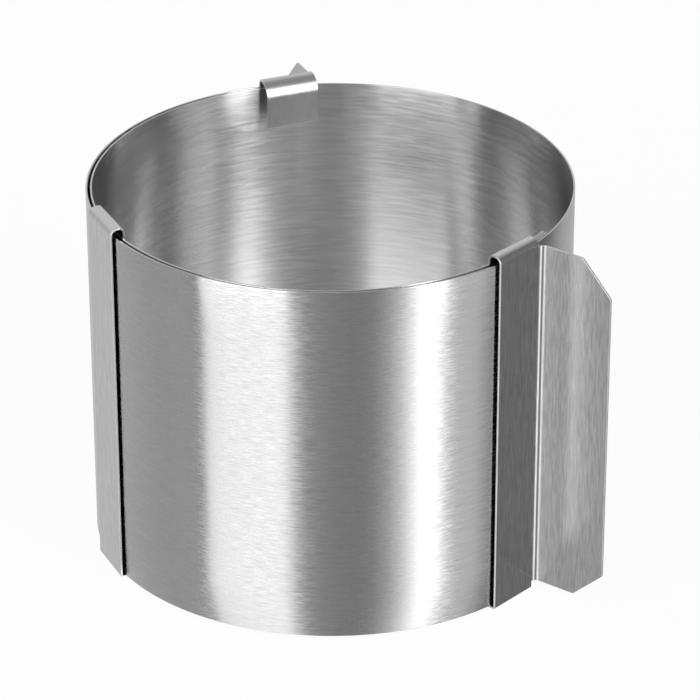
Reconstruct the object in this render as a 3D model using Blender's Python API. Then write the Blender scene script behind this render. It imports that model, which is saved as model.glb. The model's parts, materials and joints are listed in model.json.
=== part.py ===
"""Adjustable cake ring of brushed stainless steel.

One long strip is wound into a ring, so that its turns overlap and slide on each other.
Two clips with finger flanges and one plain clip hook over the strip's edges and keep the
turns together. The front handle sits on the strip's inner end, which is folded over as a
stop, and the rear handle sits on its outer end. The strip is built as two turns, which
meet under the front handle, so that they can slide.

Metres, +Z up. Heights count from the strip's lower edge, and distances from the ring's
upright axis, where the parent empty stands. Plan angles are in degrees, anticlockwise from
+X, and the front of the ring faces -Y.
"""

import math

import bmesh
import bpy
from mathutils import Vector

# Strip
band_height = 0.120
band_sheet = 0.0006
ring_radius = 0.0775
running_gap = 0.0003

# How much of its room the inner turn takes up where it is pressed out at the front
swell_share = 0.8
swell_middle = 69.0
swell_reach = 45.0

# Folded stop on the strip's inner end: what shows of it beside the front handle's hook
stop_reach = 0.0092
stop_leaves = 2
tip_lead = 0.0006

# Clips
clip_sheet = 0.0007
clip_width = 0.018
hook_play = 0.0004
leg_length = 0.015
rear_leg_length = 0.0125
foot_leg_length = 0.005
hook_bend_radius = 0.0017
leg_bend_radius = 0.0012
tight_bend_radius = 0.0003
rear_leg_bend_radius = 0.0045

# Finger flanges
flange_reach = 0.0238
flange_bend_radius = 0.0024
flange_top_step = 0.0002
rear_flange_top_step = 0.0015
flange_bottom_step = 0.0016
chamfer_reach = 0.0107
top_chamfer_drop = 0.011
bottom_chamfer_rise = 0.010
flange_corner_radius = 0.0015

# Places round the ring: the middle of each clip, and how far it is turned in its play
front_handle_angle = -43.2
front_handle_turn = 1.0
front_flange_bend = 85.0
side_clip_angle = 204.3
side_clip_turn = 0.5
rear_handle_angle = 101.6
rear_handle_turn = 10.5
rear_flange_bend = 92.0

# Mesh fineness, in degrees and counts
turn_step = 2.0
bend_steps = 6
smooth_limit = 35.0

outer_steel = (0.62, 0.62, 0.61, 1.0)
inner_steel = (0.56, 0.56, 0.55, 1.0)
clip_steel = (0.58, 0.58, 0.57, 1.0)
steel_roughness = 0.32

# Faces of the turns and clips, from the outside in
seat_face = ring_radius + running_gap
outer_turn_inner_face = ring_radius - band_sheet
nested_face = outer_turn_inner_face - running_gap
start_face = nested_face - band_sheet - running_gap
leg_face = start_face - band_sheet - running_gap


def polar(radius, angle):
    """A plan point at this radius and at this angle in degrees."""
    turn = math.radians(angle)
    return Vector((radius * math.cos(turn), radius * math.sin(turn)))


def arc_angle(length, radius):
    """The angle in degrees that this length takes up on a circle."""
    return math.degrees(length / radius)


def angles_between(start, end):
    """Angles from start to end, both included, no farther apart than the turn step."""
    count = max(1, math.ceil(abs(end - start) / turn_step))
    return [start + (end - start) * step / count for step in range(count + 1)]


class ClipLayout:
    """Where a clip lies: its plate's normal, and distances along and across the plate.

    A plate that is turned past its edge moves in until that edge is on the seat face.
    """

    def __init__(self, angle, turn, leg_length=leg_length, leg_bend=leg_bend_radius,
                 head_step=flange_top_step):
        self.normal = angle + turn
        self.leg_length = leg_length
        self.leg_bend = leg_bend
        self.flange_head = band_height + hook_play - head_step
        middle = seat_face * math.tan(math.radians(-turn))
        self.low = middle - clip_width / 2
        self.high = middle + clip_width / 2
        farthest = max(abs(self.low), abs(self.high))
        nearest = max(self.low, -self.high, 0)
        self.plate = math.sqrt(seat_face ** 2 - nearest ** 2)
        self.leg = math.sqrt(leg_face ** 2 - farthest ** 2)

    def plan_angle(self, distance, along):
        """The plan angle of a point at this distance from the axis and this far along."""
        return self.normal + math.degrees(math.atan2(along, distance))


front_layout = ClipLayout(front_handle_angle, front_handle_turn)
side_layout = ClipLayout(side_clip_angle, side_clip_turn)
rear_layout = ClipLayout(
    rear_handle_angle, rear_handle_turn, rear_leg_length, rear_leg_bend_radius,
    rear_flange_top_step)

# Where the strip's turns start and end, under and beside the front handle's hook
front_leg_edge_angle = front_layout.plan_angle(front_layout.leg, front_layout.high)
stop_tip_angle = front_leg_edge_angle + arc_angle(stop_reach, leg_face)
inner_tip_angle = stop_tip_angle + arc_angle(tip_lead, start_face)
web_start_angle = front_leg_edge_angle + arc_angle(running_gap, leg_face)
web_end_angle = web_start_angle + arc_angle(band_sheet, leg_face)
turns_meet_angle = front_layout.plan_angle(front_layout.plate, front_layout.high - clip_sheet)
outer_end_angle = rear_handle_angle - 360


def inner_turn_face(angle):
    """Radius of the inner turn's outer face, at an angle clockwise from its folded end."""
    rise = min(angle / 360, 1)
    face = start_face + (nested_face - start_face) * rise
    offset = abs(angle - swell_middle) / swell_reach
    if offset < 1:
        face += swell_share * (nested_face - face) * math.cos(math.pi / 2 * offset) ** 2
    return face


def new_material(name, color):
    material = bpy.data.materials.new(name)
    material.use_nodes = True
    shader = material.node_tree.nodes["Principled BSDF"]
    shader.inputs["Base Color"].default_value = color
    shader.inputs["Metallic"].default_value = 1.0
    shader.inputs["Roughness"].default_value = steel_roughness
    return material


def add_part(name, mesh_data, material, parent):
    """Turn a bmesh into a smooth-shaded, named object that hangs on the ring's axis."""
    mesh = bpy.data.meshes.new(name)
    mesh_data.to_mesh(mesh)
    mesh_data.free()
    mesh.materials.append(material)
    mesh.shade_smooth()
    mesh.set_sharp_from_angle(angle=math.radians(smooth_limit))
    part = bpy.data.objects.new(name, mesh)
    part.parent = parent
    bpy.context.scene.collection.objects.link(part)
    return part


def plan_row(mesh_data, stations):
    """Cells of the plan between stations, each a pair of points on the two faces."""
    pairs = [[mesh_data.verts.new((point.x, point.y, 0)) for point in pair] for pair in stations]
    for (outer, inner), (next_outer, next_inner) in zip(pairs, pairs[1:]):
        mesh_data.faces.new((outer, inner, next_inner, next_outer))
    return pairs


def raise_plan(mesh_data):
    """Extrude the flat plan up to the strip's full height, as one closed solid."""
    walls = bmesh.ops.extrude_face_region(mesh_data, geom=mesh_data.faces[:])
    raised = [item for item in walls["geom"] if isinstance(item, bmesh.types.BMVert)]
    bmesh.ops.translate(mesh_data, verts=raised, vec=(0, 0, band_height))
    bmesh.ops.recalc_face_normals(mesh_data, faces=mesh_data.faces)


def build_outer_band(material, parent):
    """The outer turn, from under the front handle clockwise to under the rear one."""
    mesh_data = bmesh.new()
    plan_row(mesh_data, [
        (polar(ring_radius, angle), polar(outer_turn_inner_face, angle))
        for angle in angles_between(turns_meet_angle, outer_end_angle)
    ])
    raise_plan(mesh_data)
    return add_part("outer_band", mesh_data, material, parent)


def build_inner_band(material, parent):
    """The inner turn, with the stop that its end is folded into.

    The stop's leaves lie against each other, joined to the strip at the hook's edge.
    """
    mesh_data = bmesh.new()
    web_start = inner_tip_angle - web_end_angle
    web_end = inner_tip_angle - web_start_angle
    turn_end = 360 + inner_tip_angle - turns_meet_angle
    lead_angles = angles_between(0, web_start)
    strip = plan_row(mesh_data, [
        (polar(inner_turn_face(angle), inner_tip_angle - angle),
         polar(inner_turn_face(angle) - band_sheet, inner_tip_angle - angle))
        for angle in lead_angles + angles_between(web_end, turn_end)
    ])

    stop_inner_face = leg_face - stop_leaves * band_sheet
    stop_angles = [web_start_angle] + angles_between(web_end_angle, stop_tip_angle)
    stop = plan_row(mesh_data, [
        (polar(leg_face, angle), polar(stop_inner_face, angle)) for angle in stop_angles
    ])
    web = len(lead_angles)
    mesh_data.faces.new((strip[web][1], stop[0][0], stop[1][0], strip[web - 1][1]))

    tip_middle = polar((leg_face + stop_inner_face) / 2, stop_tip_angle)
    tip_radius = (leg_face - stop_inner_face) / 2
    outward = polar(1, stop_tip_angle)
    onward = Vector((-outward.y, outward.x))
    rounding = []
    for step in range(1, bend_steps):
        turn = math.pi * step / bend_steps
        point = tip_middle + (outward * math.cos(turn) + onward * math.sin(turn)) * tip_radius
        rounding.append(mesh_data.verts.new((point.x, point.y, 0)))
    mesh_data.faces.new([stop[-1][0]] + rounding + [stop[-1][1]])
    raise_plan(mesh_data)
    return add_part("inner_band", mesh_data, material, parent)


def bend_points(center, radius, start, end):
    """Points of a bend in the clip's profile, as distance from the axis and height."""
    points = []
    for step in range(bend_steps + 1):
        turn = math.radians(start + (end - start) * step / bend_steps)
        points.append((center[0] + radius * math.cos(turn), center[1] + radius * math.sin(turn)))
    return points


def clip_profile(layout):
    """The side of the clip's sheet that faces the strip, from its top leg to its foot.

    The second value is the row of the flange's head, and its foot is in the next row.
    """
    top = band_height + hook_play + hook_bend_radius
    bottom = -tight_bend_radius
    wide = hook_bend_radius
    tight = tight_bend_radius
    plate = layout.plate
    leg = layout.leg
    curl = layout.leg_bend
    profile = [(leg, band_height - layout.leg_length)]
    profile += bend_points((leg + curl, top - curl), curl, 180, 90)
    profile += bend_points((plate - wide, top - wide), wide, 90, 0)
    head_row = len(profile)
    profile.append((plate, layout.flange_head))
    profile.append((plate, flange_bottom_step))
    profile += bend_points((plate - tight, bottom + tight), tight, 0, -90)
    profile += bend_points((leg + tight, bottom + tight), tight, -90, -180)
    profile.append((leg, foot_leg_length))
    return profile, head_row


def rounded_corner(before, corner, after):
    """An arc that touches both sides of a corner of the flange's outline."""
    first = (before - corner).normalized()
    second = (after - corner).normalized()
    half = first.angle(second) / 2
    reach = flange_corner_radius / math.tan(half)
    center = corner + (first + second).normalized() * flange_corner_radius / math.sin(half)
    points = []
    for step in range(bend_steps + 1):
        share = step / bend_steps
        chord = corner + first * reach * (1 - share) + second * reach * share
        points.append(center + (chord - center).normalized() * flange_corner_radius)
    return points


def flange_outline(layout):
    """The flange's outline as reach from its bend and height, from its foot to its head."""
    low = flange_bottom_step
    high = layout.flange_head
    straight = flange_reach - chamfer_reach
    foot = Vector((0, low))
    head = Vector((0, high))
    corners = [
        Vector((straight, low)),
        Vector((flange_reach, low + bottom_chamfer_rise)),
        Vector((flange_reach, high - top_chamfer_drop)),
        Vector((straight, high)),
    ]
    points = []
    for before, corner, after in zip([foot] + corners, corners, corners[1:] + [head]):
        points += rounded_corner(before, corner, after)
    return points


def build_clip(name, layout, material, parent, hand=0, flange_bend=0):
    """A clip of bent sheet that hooks over the strip's edges.

    The mesh is the sheet's inner side, and a Solidify modifier thickens it outwards. Hand
    says at which side edge of the plate the finger flange turns outwards: 1 is the
    anticlockwise edge, -1 the clockwise one and 0 none.
    """
    mesh_data = bmesh.new()
    normal = polar(1, layout.normal)
    tangent = Vector((-normal.y, normal.x))

    def vertex(distance, along, height):
        spot = normal * distance + tangent * along
        return mesh_data.verts.new((spot.x, spot.y, height))

    def face(corners):
        mesh_data.faces.new(corners if hand >= 0 else corners[::-1])

    edges = (layout.low, layout.high) if hand >= 0 else (layout.high, layout.low)
    profile, head_row = clip_profile(layout)
    grid = [[vertex(distance, along, height) for along in edges] for distance, height in profile]
    for (near, far), (next_near, next_far) in zip(grid, grid[1:]):
        face((near, next_near, next_far, far))

    if hand:
        head = grid[head_row][1]
        foot = grid[head_row + 1][1]
        for step in range(1, bend_steps + 1):
            turn = math.radians(flange_bend * step / bend_steps)
            along = edges[1] + hand * flange_bend_radius * math.sin(turn)
            distance = layout.plate + flange_bend_radius * (1 - math.cos(turn))
            next_head = vertex(distance, along, head.co.z)
            next_foot = vertex(distance, along, foot.co.z)
            face((head, foot, next_foot, next_head))
            head = next_head
            foot = next_foot
        lean_out = math.sin(math.radians(flange_bend))
        lean_along = hand * math.cos(math.radians(flange_bend))
        outline = [
            vertex(distance + lean_out * point.x, along + lean_along * point.x, point.y)
            for point in flange_outline(layout)
        ]
        face([head, foot] + outline)

    clip = add_part(name, mesh_data, material, parent)
    sheet = clip.modifiers.new("Sheet", "SOLIDIFY")
    sheet.thickness = clip_sheet
    sheet.offset = 1
    sheet.use_even_offset = True
    return clip


def stand_on_origin(parts, axis):
    """Move the axis so that the middle of the ring's lower bounds is at the origin."""
    bpy.context.view_layer.update()
    graph = bpy.context.evaluated_depsgraph_get()
    corners = [
        part.matrix_world @ Vector(corner)
        for part in parts
        for corner in part.evaluated_get(graph).bound_box
    ]
    low = [min(corner[side] for corner in corners) for side in range(3)]
    high = [max(corner[side] for corner in corners) for side in range(3)]
    axis.location = (-(low[0] + high[0]) / 2, -(low[1] + high[1]) / 2, -low[2])
    bpy.context.view_layer.update()
    print("axis at", [round(value, 6) for value in axis.location])
    print("size", [round(top - bottom, 6) for bottom, top in zip(low, high)])


def main():
    for item in list(bpy.data.objects):
        bpy.data.objects.remove(item)

    axis = bpy.data.objects.new("ring_axis", None)
    bpy.context.scene.collection.objects.link(axis)
    band_material = new_material("outer_band_steel", outer_steel)
    inner_material = new_material("inner_band_steel", inner_steel)
    clip_material = new_material("clip_steel", clip_steel)
    parts = [
        build_outer_band(band_material, axis),
        build_inner_band(inner_material, axis),
        build_clip("front_handle", front_layout, clip_material, axis, 1, front_flange_bend),
        build_clip("side_clip", side_layout, clip_material, axis),
        build_clip("rear_handle", rear_layout, clip_material, axis, -1, rear_flange_bend),
    ]
    stand_on_origin(parts, axis)


main()
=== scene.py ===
"""Looks of the adjustable cake ring: brushed stainless sheet in a round studio of light.

Metres, +Z up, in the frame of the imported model. Distances count from the ring's upright
axis and heights from the strip's lower edge. Plan angles are in degrees, anticlockwise
from +X. Texture coordinates are in metres, with X along the grain of the brushing.
"""

import json
import math

import bmesh
import bpy
from mathutils import Matrix, Vector, noise


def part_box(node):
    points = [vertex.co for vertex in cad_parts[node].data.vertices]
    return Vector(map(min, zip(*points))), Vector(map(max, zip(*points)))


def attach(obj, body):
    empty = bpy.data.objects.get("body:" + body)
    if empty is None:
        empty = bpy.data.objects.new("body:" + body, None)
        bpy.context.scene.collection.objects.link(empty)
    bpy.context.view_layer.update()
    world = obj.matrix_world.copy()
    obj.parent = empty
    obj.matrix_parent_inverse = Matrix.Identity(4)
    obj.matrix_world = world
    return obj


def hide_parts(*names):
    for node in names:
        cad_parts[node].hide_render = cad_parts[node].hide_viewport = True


# Camera, fitted to the photograph
picture_size = 700
focal_pixels = 4000.0
camera_fall = 27.76
camera_roll = -0.08
axis_right = -0.0056
axis_up = -0.00003
axis_ahead = 1.2873

# Strip, as in the frame
band_sheet = 0.0006
running_gap = 0.0003
swell_share = 0.8
swell_middle = 69.0
swell_reach = 45.0
stop_reach = 0.0092
stop_sheet = 0.00055
tip_lead = 0.0006

# Clips and their finger flanges, as in the frame
clip_sheet = 0.0007
clip_width = 0.018
hook_play = 0.0004
leg_length = 0.015
rear_leg_length = 0.0125
foot_leg_length = 0.005
hook_bend_radius = 0.0017
leg_bend_radius = 0.0012
tight_bend_radius = 0.0003
rear_leg_bend_radius = 0.0045
flange_reach = 0.0238
flange_bend_radius = 0.0024
flange_top_step = 0.0002
rear_flange_top_step = 0.0015
flange_bottom_step = 0.0016
chamfer_reach = 0.0107
top_chamfer_drop = 0.011
bottom_chamfer_rise = 0.010
flange_corner_radius = 0.0015
front_handle_angle = -43.2
front_handle_turn = 1.0
front_flange_bend = 85.0
side_clip_angle = 204.3
side_clip_turn = 0.5
rear_handle_angle = 101.6
rear_handle_turn = 10.5
rear_flange_bend = 92.0

# Finish of the sheet
edge_round = 0.00016
ripple_depth = 0.00007
ripple_length = 0.045
ripple_height_ratio = 3
turn_step = 1.0
height_steps = 8
bend_steps = 10
corner_steps = 3
smooth_limit = 40.0

# Brushing: most of the noise lies in its range, and a coarse scratch is longer and wider than
# a fine one by the ratio. A painted highlight, a pale tone on upper edges, comes in as the surface
# turns to face upwards.
noise_range = (0.3, 0.7)
noise_roughness = 0.6
fine_detail = 2.0
wide_detail = 3.0
coarse_ratio = 3.0
fine_tone_share = 0.7
smear_length = 0.05
smear_width = 0.02
# Painted highlight on upper edges: its pale tone, and the upward facing over which it comes in
painted_highlight_tone = 0.75
painted_highlight_facing = (0.5, 0.95)

# Steels, by the values that brushed_steel takes
outer_finish = dict(
    tones=(0.56, 0.7), roughness=(0.18, 0.22), grain=(0.004, 0.0003),
    lines=0.1, waver=0.006, shine_stretch=1.0, shine_turn=0.25)
inner_finish = dict(
    tones=(0.61, 0.73), roughness=(0.21, 0.24), grain=(0.012, 0.0009),
    lines=0.015, waver=0.0022, shine_stretch=1.0, shine_turn=0.25)
clip_finish = dict(
    tones=(0.53, 0.71), roughness=(0.18, 0.2), grain=(0.007, 0.0006),
    lines=0.02, waver=0.0008, shine_stretch=0.0, shine_turn=0.0)
smooth_clip_finish = dict(
    tones=(0.57, 0.63), roughness=(0.28, 0.34), grain=(0.004, 0.0012),
    lines=0.02, waver=0.002, shine_stretch=0.0, shine_turn=0.0)
# The clips' cut edges are paler steel: a painted highlight along the edges
cut_edge_highlight_finish = dict(
    tones=(0.8, 0.9), roughness=(0.34, 0.38), grain=(0.004, 0.0012),
    lines=0.02, waver=0.002, shine_stretch=0.0, shine_turn=0.0)

# Studio: each band's direction, anticlockwise from +X in degrees, and how bright it is there
studio_bands = (
    (-180, 0.54), (-160, 0.56), (-152, 0.44), (-150.5, 1.66), (-143, 1.64), (-125, 1.66),
    (-113, 1.68), (-109, 1.18), (-105, 0.70), (-101, 0.50), (-96, 0.43), (-88, 0.37),
    (-78, 0.34), (-71, 0.38), (-64, 0.58), (-58, 0.94), (-52, 1.58), (-47, 2.3), (-41, 2.2),
    (-35, 1.20), (-29, 0.86), (-20, 0.92), (-12, 0.57), (-5, 0.28), (8, 0.26), (24, 0.16),
    (45, 0.60), (90, 0.82), (140, 0.85), (153, 0.67), (180, 0.54),
)
brightest_band = max(shine for angle, shine in studio_bands)

# Higher up the lights grow by the contrast as a power, and then the bands fade to the top
# light. Each change comes in over a range of a direction's upward part.
upper_start = (-0.05, 0.25)
upper_contrast = 3.0
band_top = (0.6, 0.85)
top_light = 0.35

# Floor
floor_reach = 6.0
floor_color = (0.8, 0.8, 0.8, 1.0)
floor_white_share = 0.95

# Mix node's kind of value, and the places of its two values and its result
number_mix = ("FLOAT", 2, 3, 0)
color_mix = ("RGBA", 6, 7, 2)

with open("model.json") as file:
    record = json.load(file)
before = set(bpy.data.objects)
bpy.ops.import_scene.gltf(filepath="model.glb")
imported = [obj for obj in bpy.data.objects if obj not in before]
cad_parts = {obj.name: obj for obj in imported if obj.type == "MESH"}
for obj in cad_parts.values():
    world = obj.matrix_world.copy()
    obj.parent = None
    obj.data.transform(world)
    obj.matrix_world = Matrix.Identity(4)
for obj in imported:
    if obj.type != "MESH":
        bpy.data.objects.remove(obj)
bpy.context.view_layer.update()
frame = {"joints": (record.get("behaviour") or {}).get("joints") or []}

# Places and sizes read from the frame
axis_place = Vector(frame["joints"][0]["pos_m"])
band_low, band_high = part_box("outer_band")
band_foot = band_low.z
band_height = band_high.z - band_low.z
ring_radius = axis_place.x - band_low.x
axis_foot = Vector((axis_place.x, axis_place.y, band_foot))

# Faces of the turns and clips, from the outside in
seat_face = ring_radius + running_gap
outer_turn_inner_face = ring_radius - band_sheet
nested_face = outer_turn_inner_face - running_gap
start_face = nested_face - band_sheet - running_gap
leg_face = start_face - band_sheet - running_gap


def make_camera():
    """The photograph's view: level but for its roll, looking down at the ring's middle."""
    fall = math.radians(camera_fall)
    roll = math.radians(camera_roll)
    ahead = Vector((0, math.cos(fall), -math.sin(fall)))
    level_right = Vector((1, 0, 0))
    level_up = level_right.cross(ahead)
    right = level_right * math.cos(roll) + level_up * math.sin(roll)
    up = level_up * math.cos(roll) - level_right * math.sin(roll)
    middle = axis_foot + Vector((0, 0, band_height / 2))
    place = middle - right * axis_right - up * axis_up - ahead * axis_ahead
    data = bpy.data.cameras.new("camera")
    data.lens = focal_pixels * data.sensor_width / picture_size
    camera = bpy.data.objects.new("camera", data)
    camera.matrix_world = Matrix((
        (right.x, up.x, -ahead.x, place.x),
        (right.y, up.y, -ahead.y, place.y),
        (right.z, up.z, -ahead.z, place.z),
        (0, 0, 0, 1),
    ))
    bpy.context.scene.collection.objects.link(camera)
    bpy.context.scene.camera = camera


def polar(radius, angle):
    turn = math.radians(angle)
    return Vector((radius * math.cos(turn), radius * math.sin(turn)))


def arc_angle(length, radius):
    """The angle in degrees that this length takes up on a circle."""
    return math.degrees(length / radius)


def angles_between(start, end):
    count = max(1, math.ceil(abs(end - start) / turn_step))
    return [start + (end - start) * step / count for step in range(count + 1)]


class ClipLayout:
    """Where a clip lies: its plate's normal, and distances along and across the plate.

    A plate that is turned past its edge moves in until that edge is on the seat face.
    """

    def __init__(self, angle, turn, leg_length=leg_length, leg_bend=leg_bend_radius,
                 head_step=flange_top_step):
        self.normal = angle + turn
        self.leg_length = leg_length
        self.leg_bend = leg_bend
        self.flange_head = band_height + hook_play - head_step
        middle = seat_face * math.tan(math.radians(-turn))
        self.low = middle - clip_width / 2
        self.high = middle + clip_width / 2
        farthest = max(abs(self.low), abs(self.high))
        nearest = max(self.low, -self.high, 0)
        self.plate = math.sqrt(seat_face ** 2 - nearest ** 2)
        self.leg = math.sqrt(leg_face ** 2 - farthest ** 2)

    def plan_angle(self, distance, along):
        return self.normal + math.degrees(math.atan2(along, distance))


front_layout = ClipLayout(front_handle_angle, front_handle_turn)
side_layout = ClipLayout(side_clip_angle, side_clip_turn)
rear_layout = ClipLayout(
    rear_handle_angle, rear_handle_turn, rear_leg_length, rear_leg_bend_radius,
    rear_flange_top_step)
front_leg_edge_angle = front_layout.plan_angle(front_layout.leg, front_layout.high)
stop_tip_angle = front_leg_edge_angle + arc_angle(stop_reach, leg_face)
inner_tip_angle = stop_tip_angle + arc_angle(tip_lead, start_face)
web_angle = front_leg_edge_angle + arc_angle(running_gap + band_sheet / 2, leg_face)
turns_meet_angle = front_layout.plan_angle(front_layout.plate, front_layout.high - clip_sheet)
outer_end_angle = rear_handle_angle - 360


def inner_turn_face(angle):
    """Radius of the inner turn's outer face, at an angle clockwise from its folded end."""
    rise = min(angle / 360, 1)
    face = start_face + (nested_face - start_face) * rise
    offset = abs(angle - swell_middle) / swell_reach
    if offset < 1:
        face += swell_share * (nested_face - face) * math.cos(math.pi / 2 * offset) ** 2
    return face


def sheet_section(thickness):
    """Points of a standing sheet's outline, as distance across it and height."""
    half = thickness / 2 - edge_round
    low = edge_round
    high = band_height - edge_round
    corners = ((half, low, -90), (half, high, 0), (-half, high, 90), (-half, low, 180))
    points = []
    for across, height, start in corners:
        for step in range(corner_steps + 1):
            turn = math.radians(start + 90 * step / corner_steps)
            points.append((across + edge_round * math.cos(turn), height + edge_round * math.sin(turn)))
        if start in (0, 180):
            continue
        rise = (high - low) / height_steps * (1 if start < 0 else -1)
        side = points[-1][0]
        points += [(side, height + rise * step) for step in range(1, height_steps)]
    return points


def sweep_sheet(mesh_data, grain, path, thickness, ripple):
    """Sweep a standing sheet along plan points that run clockwise, closed at its ends."""
    section = sheet_section(thickness)
    across_lengths = [0]
    for (side, height), (next_side, next_height) in zip(section, section[1:] + section[:1]):
        across_lengths.append(across_lengths[-1] + math.hypot(next_side - side, next_height - height))
    rings = []
    lengths = [0]
    for index, point in enumerate(path):
        before = path[max(index - 1, 0)]
        after = path[min(index + 1, len(path) - 1)]
        ahead = (after - before).normalized()
        outward = Vector((-ahead.y, ahead.x))
        if index:
            lengths.append(lengths[-1] + (point - path[index - 1]).length)
        ring = []
        for across, height in section:
            ripple_place = Vector((point.x, point.y, height / ripple_height_ratio)) / ripple_length
            wave = noise.noise(ripple_place) * ripple
            spot = point + outward * (across + wave)
            ring.append(mesh_data.verts.new(axis_foot + Vector((spot.x, spot.y, height))))
        rings.append(ring)
    for index in range(len(rings) - 1):
        for corner in range(len(section)):
            following = (corner + 1) % len(section)
            face = mesh_data.faces.new((
                rings[index][corner], rings[index + 1][corner],
                rings[index + 1][following], rings[index][following],
            ))
            spots = (
                (lengths[index], across_lengths[corner]),
                (lengths[index + 1], across_lengths[corner]),
                (lengths[index + 1], across_lengths[corner + 1]),
                (lengths[index], across_lengths[corner + 1]),
            )
            for loop, spot in zip(face.loops, spots):
                loop[grain].uv = spot
    mesh_data.faces.new(rings[0])
    mesh_data.faces.new(rings[-1][::-1])


def add_piece(name, mesh_data, material, body, node):
    """A shown piece that stands for a node of the frame and rides on its body."""
    mesh = bpy.data.meshes.new(name)
    mesh_data.to_mesh(mesh)
    mesh_data.free()
    mesh.materials.append(material)
    mesh.shade_smooth()
    mesh.set_sharp_from_angle(angle=math.radians(smooth_limit))
    piece = bpy.data.objects.new(name, mesh)
    bpy.context.scene.collection.objects.link(piece)
    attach(piece, body)
    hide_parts(node)
    return piece


def build_outer_strip(material):
    mesh_data = bmesh.new()
    grain = mesh_data.loops.layers.uv.new("grain")
    path = [polar(ring_radius - band_sheet / 2, angle)
            for angle in angles_between(turns_meet_angle, outer_end_angle)]
    sweep_sheet(mesh_data, grain, path, band_sheet, ripple_depth)
    bmesh.ops.recalc_face_normals(mesh_data, faces=mesh_data.faces)
    add_piece("outer_strip", mesh_data, material, "outer_ring", "outer_band")


def build_inner_strip(material):
    """The inner turn, and the folded stop beside the front handle's hook."""
    mesh_data = bmesh.new()
    grain = mesh_data.loops.layers.uv.new("grain")
    turn_end = 360 + inner_tip_angle - turns_meet_angle
    path = [polar(inner_turn_face(angle) - band_sheet / 2, inner_tip_angle - angle)
            for angle in angles_between(0, turn_end)]
    sweep_sheet(mesh_data, grain, path, band_sheet, ripple_depth)

    outer_leaf = leg_face - stop_sheet / 2
    inner_leaf = leg_face - 2 * band_sheet + stop_sheet / 2
    fold = (outer_leaf - inner_leaf) / 2
    tip = polar((outer_leaf + inner_leaf) / 2, stop_tip_angle)
    outward = polar(1, stop_tip_angle)
    onward = Vector((-outward.y, outward.x))
    path = [polar(inner_leaf, angle) for angle in angles_between(web_angle, stop_tip_angle)]
    for step in range(1, bend_steps):
        turn = math.pi * step / bend_steps
        path.append(tip - outward * fold * math.cos(turn) + onward * fold * math.sin(turn))
    path += [polar(outer_leaf, angle) for angle in angles_between(stop_tip_angle, web_angle)]
    path.append(polar(start_face - band_sheet / 2, web_angle - arc_angle(band_sheet / 2, leg_face)))
    sweep_sheet(mesh_data, grain, path, stop_sheet, 0)
    bmesh.ops.recalc_face_normals(mesh_data, faces=mesh_data.faces)
    add_piece("inner_strip", mesh_data, material, "inner_ring", "inner_band")


def bend_points(center, radius, start, end):
    points = []
    for step in range(bend_steps + 1):
        turn = math.radians(start + (end - start) * step / bend_steps)
        points.append((center[0] + radius * math.cos(turn), center[1] + radius * math.sin(turn)))
    return points


def clip_profile(layout):
    """The side of the clip's sheet that faces the strip, and the row of the flange's head."""
    top = band_height + hook_play + hook_bend_radius
    bottom = -tight_bend_radius
    wide = hook_bend_radius
    tight = tight_bend_radius
    plate = layout.plate
    leg = layout.leg
    curl = layout.leg_bend
    profile = [(leg, band_height - layout.leg_length)]
    profile += bend_points((leg + curl, top - curl), curl, 180, 90)
    profile += bend_points((plate - wide, top - wide), wide, 90, 0)
    head_row = len(profile)
    profile.append((plate, layout.flange_head))
    profile.append((plate, flange_bottom_step))
    profile += bend_points((plate - tight, bottom + tight), tight, 0, -90)
    profile += bend_points((leg + tight, bottom + tight), tight, -90, -180)
    profile.append((leg, foot_leg_length))
    return profile, head_row


def rounded_corner(before, corner, after):
    """An arc that touches both sides of a corner of the flange's outline."""
    first = (before - corner).normalized()
    second = (after - corner).normalized()
    half = first.angle(second) / 2
    reach = flange_corner_radius / math.tan(half)
    center = corner + (first + second).normalized() * flange_corner_radius / math.sin(half)
    points = []
    for step in range(bend_steps + 1):
        share = step / bend_steps
        chord = corner + first * reach * (1 - share) + second * reach * share
        points.append(center + (chord - center).normalized() * flange_corner_radius)
    return points


def flange_outline(layout):
    """The flange's outline as reach from its bend and height, from its foot to its head."""
    low = flange_bottom_step
    high = layout.flange_head
    straight = flange_reach - chamfer_reach
    corners = [
        Vector((straight, low)),
        Vector((flange_reach, low + bottom_chamfer_rise)),
        Vector((flange_reach, high - top_chamfer_drop)),
        Vector((straight, high)),
    ]
    before = [Vector((0, low))] + corners
    after = corners[1:] + [Vector((0, high))]
    points = []
    for previous, corner, following in zip(before, corners, after):
        points += rounded_corner(previous, corner, following)
    return points


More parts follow.
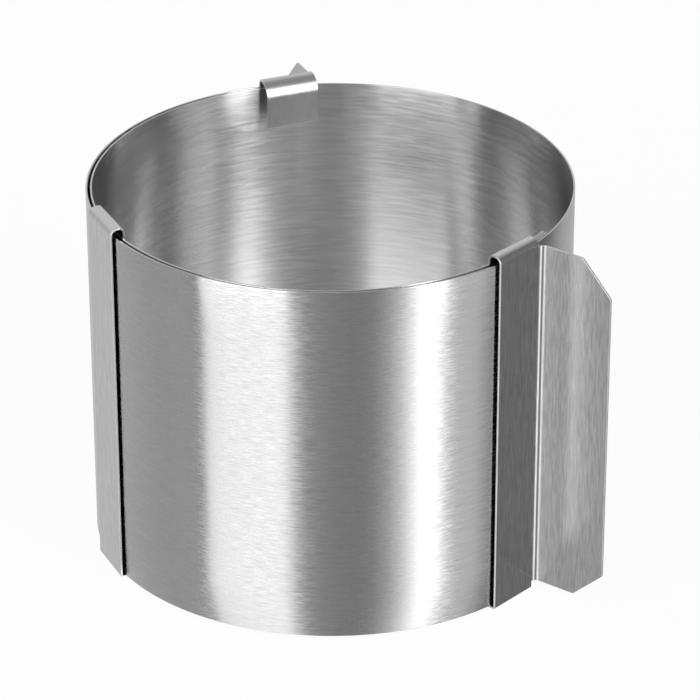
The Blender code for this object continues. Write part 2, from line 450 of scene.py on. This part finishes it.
def build_clip(name, layout, materials, body, node, hand=0, flange_bend=0):
    """A clip of bent sheet, made as its inner side and thickened outwards.

    Hand says at which side edge of the plate the finger flange turns outwards: 1 is the
    anticlockwise edge, -1 the clockwise one and 0 none. The grain runs up and down. The
    materials are those of the sheet's faces and of its cut edges, whose paler steel is a painted
    highlight.
    """
    mesh_data = bmesh.new()
    grain = mesh_data.loops.layers.uv.new("grain")
    normal = polar(1, layout.normal)
    tangent = Vector((-normal.y, normal.x))
    grain_spots = {}

    def vertex(distance, along, height, grain_spot):
        spot = normal * distance + tangent * along
        corner = mesh_data.verts.new(axis_foot + Vector((spot.x, spot.y, height)))
        grain_spots[corner] = grain_spot
        return corner

    def face(corners):
        made = mesh_data.faces.new(corners if hand >= 0 else corners[::-1])
        for loop in made.loops:
            loop[grain].uv = grain_spots[loop.vert]

    edges = (layout.low, layout.high) if hand >= 0 else (layout.high, layout.low)
    profile, head_row = clip_profile(layout)
    grid = []
    length = 0
    for index, (distance, height) in enumerate(profile):
        if index:
            length += math.dist(profile[index - 1], profile[index])
        grid.append([vertex(distance, along, height, (length, along)) for along in edges])
        if index == head_row:
            head_length = length
    for (near, far), (next_near, next_far) in zip(grid, grid[1:]):
        face((near, next_near, next_far, far))

    if hand:
        head = grid[head_row][1]
        foot = grid[head_row + 1][1]
        head_height = layout.flange_head
        foot_height = flange_bottom_step
        foot_length = head_length + head_height - foot_height
        for step in range(1, bend_steps + 1):
            turn = math.radians(flange_bend * step / bend_steps)
            along = edges[1] + hand * flange_bend_radius * math.sin(turn)
            distance = layout.plate + flange_bend_radius * (1 - math.cos(turn))
            side = edges[1] + hand * flange_bend_radius * turn
            next_head = vertex(distance, along, head_height, (head_length, side))
            next_foot = vertex(distance, along, foot_height, (foot_length, side))
            face((head, foot, next_foot, next_head))
            head = next_head
            foot = next_foot
        lean_out = math.sin(math.radians(flange_bend))
        lean_along = hand * math.cos(math.radians(flange_bend))
        outline = [
            vertex(distance + lean_out * point.x, along + lean_along * point.x, point.y,
                   (head_length + head_height - point.y, side + hand * point.x))
            for point in flange_outline(layout)
        ]
        face([head, foot] + outline)

    clip = add_piece(name, mesh_data, materials[0], body, node)
    clip.data.materials.append(materials[1])
    sheet = clip.modifiers.new("Sheet", "SOLIDIFY")
    sheet.thickness = clip_sheet
    sheet.offset = 1
    sheet.use_even_offset = True
    sheet.material_offset_rim = 1
    edge = clip.modifiers.new("Edge", "BEVEL")
    edge.width = edge_round
    edge.segments = corner_steps
    edge.limit_method = "ANGLE"
    edge.angle_limit = math.radians(smooth_limit)
    edge.harden_normals = True


def feed(tree, socket, value):
    """Link another node's socket to this one, or set this one to a plain value."""
    if isinstance(value, bpy.types.NodeSocket):
        tree.links.new(value, socket)
    else:
        socket.default_value = value


def add_node(tree, kind, settings=(), **inputs):
    """A shader node, with its settings and the values or links of its inputs."""
    node = tree.nodes.new(kind)
    for key, value in dict(settings).items():
        setattr(node, key, value)
    for key, value in inputs.items():
        feed(tree, node.inputs[key.replace("_", " ")], value)
    return node


def combine(tree, operation, first, second):
    """What a math node makes of two numbers."""
    node = add_node(tree, "ShaderNodeMath", {"operation": operation})
    feed(tree, node.inputs[0], first)
    feed(tree, node.inputs[1], second)
    return node.outputs[0]


def mix(tree, form, share, first, second):
    """Two numbers or two colours, mixed by the second one's share."""
    kind, first_place, second_place, result_place = form
    node = add_node(tree, "ShaderNodeMix", {"data_type": kind})
    feed(tree, node.inputs[0], share)
    feed(tree, node.inputs[first_place], first)
    feed(tree, node.inputs[second_place], second)
    return node.outputs[result_place]


def mix_shaders(tree, share, first, second):
    """Two shaders, mixed by the second one's share."""
    node = tree.nodes.new("ShaderNodeMixShader")
    for socket, value in zip(node.inputs, (share, first, second)):
        feed(tree, socket, value)
    return node.outputs[0]


def map_range(tree, value, low, high, span=noise_range):
    """A value in the span, brought to between low and high, which it doesn't pass."""
    node = add_node(tree, "ShaderNodeMapRange", Value=value, From_Min=span[0], From_Max=span[1],
                    To_Min=low, To_Max=high)
    return node.outputs["Result"]


def grey(tone):
    return (tone, tone, tone, 1)


def stretched_noise(tree, place, along, across, detail):
    """Noise whose grains have these lengths along and across the brushing."""
    stretch = add_node(tree, "ShaderNodeMapping", Vector=place, Scale=(1 / along, 1 / across, 1))
    grains = add_node(tree, "ShaderNodeTexNoise", {"noise_dimensions": "2D"},
                      Vector=stretch.outputs[0], Scale=1.0, Detail=detail,
                      Roughness=noise_roughness)
    return grains.outputs["Fac"]


def brushed_steel(name, tones, roughness, grain, lines, waver, shine_stretch, shine_turn):
    """Stainless steel with fine scratches, faint smears, a painted highlight on upper edges and a
    wavering shine.

    The tones and the roughness go from least to most, and the grain is the length and width
    of a fine scratch. Fine and coarse scratches change the tone, and each lean the surface to
    either side by up to the waver, so that the edges of the lights are drawn out. Wide smears
    change the roughness, and so do the fine scratches, by up to the lines' value.
    """
    material = bpy.data.materials.new(name)
    material.use_nodes = True
    tree = material.node_tree
    shader = tree.nodes["Principled BSDF"]
    place = add_node(tree, "ShaderNodeUVMap", {"uv_map": "grain"}).outputs["UV"]
    length, width = grain
    fine = stretched_noise(tree, place, length, width, fine_detail)
    coarse = stretched_noise(tree, place, length * coarse_ratio, width * coarse_ratio, wide_detail)
    smear = stretched_noise(tree, place, smear_length, smear_width, wide_detail)
    surface = tree.nodes.new("ShaderNodeNewGeometry")
    facing = add_node(tree, "ShaderNodeSeparateXYZ", Vector=surface.outputs["Normal"])

    scratches = combine(tree, "ADD", map_range(tree, fine, 0.0, fine_tone_share),
                        map_range(tree, coarse, 0.0, 1 - fine_tone_share))
    tone = mix(tree, color_mix, scratches, grey(tones[0]), grey(tones[1]))
    # Painted highlight: faces turned upwards get a paler tone in their colour
    painted_highlight = map_range(tree, facing.outputs["Z"], 0.0, 1.0, painted_highlight_facing)
    feed(tree, shader.inputs["Base Color"], mix(tree, color_mix, painted_highlight, tone, grey(painted_highlight_tone)))

    smeared = map_range(tree, smear, *roughness)
    lined = combine(tree, "ADD", smeared, map_range(tree, fine, -lines, lines))
    feed(tree, shader.inputs["Roughness"], lined)

    tangent = add_node(tree, "ShaderNodeTangent", {"direction_type": "UV_MAP", "uv_map": "grain"})
    lean = combine(tree, "ADD", map_range(tree, fine, -waver, waver),
                   map_range(tree, coarse, -waver, waver))
    sway = add_node(tree, "ShaderNodeVectorMath", {"operation": "SCALE"},
                    Vector=tangent.outputs[0], Scale=lean)
    leaning = add_node(tree, "ShaderNodeVectorMath", {"operation": "ADD"})
    feed(tree, leaning.inputs[0], surface.outputs["Normal"])
    feed(tree, leaning.inputs[1], sway.outputs[0])
    normal = add_node(tree, "ShaderNodeVectorMath", {"operation": "NORMALIZE"},
                      Vector=leaning.outputs[0])
    feed(tree, shader.inputs["Normal"], normal.outputs[0])
    feed(tree, shader.inputs["Tangent"], tangent.outputs[0])

    shader.inputs["Metallic"].default_value = 1.0
    shader.inputs["Anisotropic"].default_value = shine_stretch
    shader.inputs["Anisotropic Rotation"].default_value = shine_turn
    return material


def band_light(tree, azimuth):
    """The bands' brightness at an azimuth in radians."""
    bands = tree.nodes.new("ShaderNodeValToRGB")
    feed(tree, bands.inputs[0], map_range(tree, azimuth, 0.0, 1.0, (-math.pi, math.pi)))
    stops = bands.color_ramp.elements
    stops.remove(stops[1])
    for angle, shine in studio_bands:
        stop = stops.new((angle + 180) / 360)
        stop.color = grey(shine / brightest_band)
    stops.remove(stops[0])
    return combine(tree, "MULTIPLY", bands.outputs["Color"], brightest_band)


def make_world():
    """White to the camera, and to all else a round studio of upright bands of light."""
    world = bpy.data.worlds.new("studio")
    bpy.context.scene.world = world
    world.use_nodes = True
    tree = world.node_tree
    tree.nodes.clear()
    direction = tree.nodes.new("ShaderNodeTexCoord")
    parts = add_node(tree, "ShaderNodeSeparateXYZ", Vector=direction.outputs["Generated"])
    rise = parts.outputs["Z"]
    side = band_light(tree, combine(tree, "ARCTAN2", parts.outputs["Y"], parts.outputs["X"]))
    upper = combine(tree, "MAXIMUM", side, combine(tree, "POWER", side, upper_contrast))
    bands = mix(tree, number_mix, map_range(tree, rise, 0.0, 1.0, upper_start), side, upper)
    studio = mix(tree, number_mix, map_range(tree, rise, 0.0, 1.0, band_top), bands, top_light)
    rays = tree.nodes.new("ShaderNodeLightPath")
    seen = mix(tree, number_mix, rays.outputs["Is Camera Ray"], studio, 1.0)
    shine = add_node(tree, "ShaderNodeBackground", Strength=seen)
    add_node(tree, "ShaderNodeOutputWorld", Surface=shine.outputs[0])


def make_floor():
    """A pale floor that keeps the object's shadow, and that the metal doesn't mirror.

    The metal sees the studio's bands through it, as over a clear table.
    """
    mesh_data = bmesh.new()
    bmesh.ops.create_grid(mesh_data, x_segments=1, y_segments=1, size=floor_reach)
    mesh = bpy.data.meshes.new("floor")
    mesh_data.to_mesh(mesh)
    mesh_data.free()
    floor = bpy.data.objects.new("floor", mesh)
    bpy.context.scene.collection.objects.link(floor)
    material = bpy.data.materials.new("floor")
    material.use_nodes = True
    tree = material.node_tree
    tree.nodes.clear()
    matt = add_node(tree, "ShaderNodeBsdfDiffuse", Color=floor_color)
    white = add_node(tree, "ShaderNodeEmission", Strength=1.0)
    clear = tree.nodes.new("ShaderNodeBsdfTransparent")
    rays = tree.nodes.new("ShaderNodeLightPath")
    amount = combine(tree, "MULTIPLY", rays.outputs["Is Camera Ray"], floor_white_share)
    pale = mix_shaders(tree, amount, matt.outputs[0], white.outputs[0])
    shown = mix_shaders(tree, rays.outputs["Is Glossy Ray"], pale, clear.outputs[0])
    add_node(tree, "ShaderNodeOutputMaterial", Surface=shown)
    mesh.materials.append(material)


make_camera()
outer_steel = brushed_steel("outer_steel", **outer_finish)
inner_steel = brushed_steel("inner_steel", **inner_finish)
clip_steel = brushed_steel("clip_steel", **clip_finish)
smooth_clip_steel = brushed_steel("smooth_clip_steel", **smooth_clip_finish)
cut_edge_highlight_steel = brushed_steel("cut_edge_highlight_steel", **cut_edge_highlight_finish)
clip_sheets = (clip_steel, cut_edge_highlight_steel)
smooth_clip_sheets = (smooth_clip_steel, cut_edge_highlight_steel)
build_outer_strip(outer_steel)
build_inner_strip(inner_steel)
build_clip("front_clip", front_layout, clip_sheets, "inner_ring", "front_handle", 1,
           front_flange_bend)
build_clip("loose_clip", side_layout, clip_sheets, "loose_clip", "side_clip")
build_clip("rear_clip", rear_layout, smooth_clip_sheets, "outer_ring", "rear_handle", -1,
           rear_flange_bend)

bpy.context.scene.view_settings.view_transform = "Standard"
make_world()
make_floor()
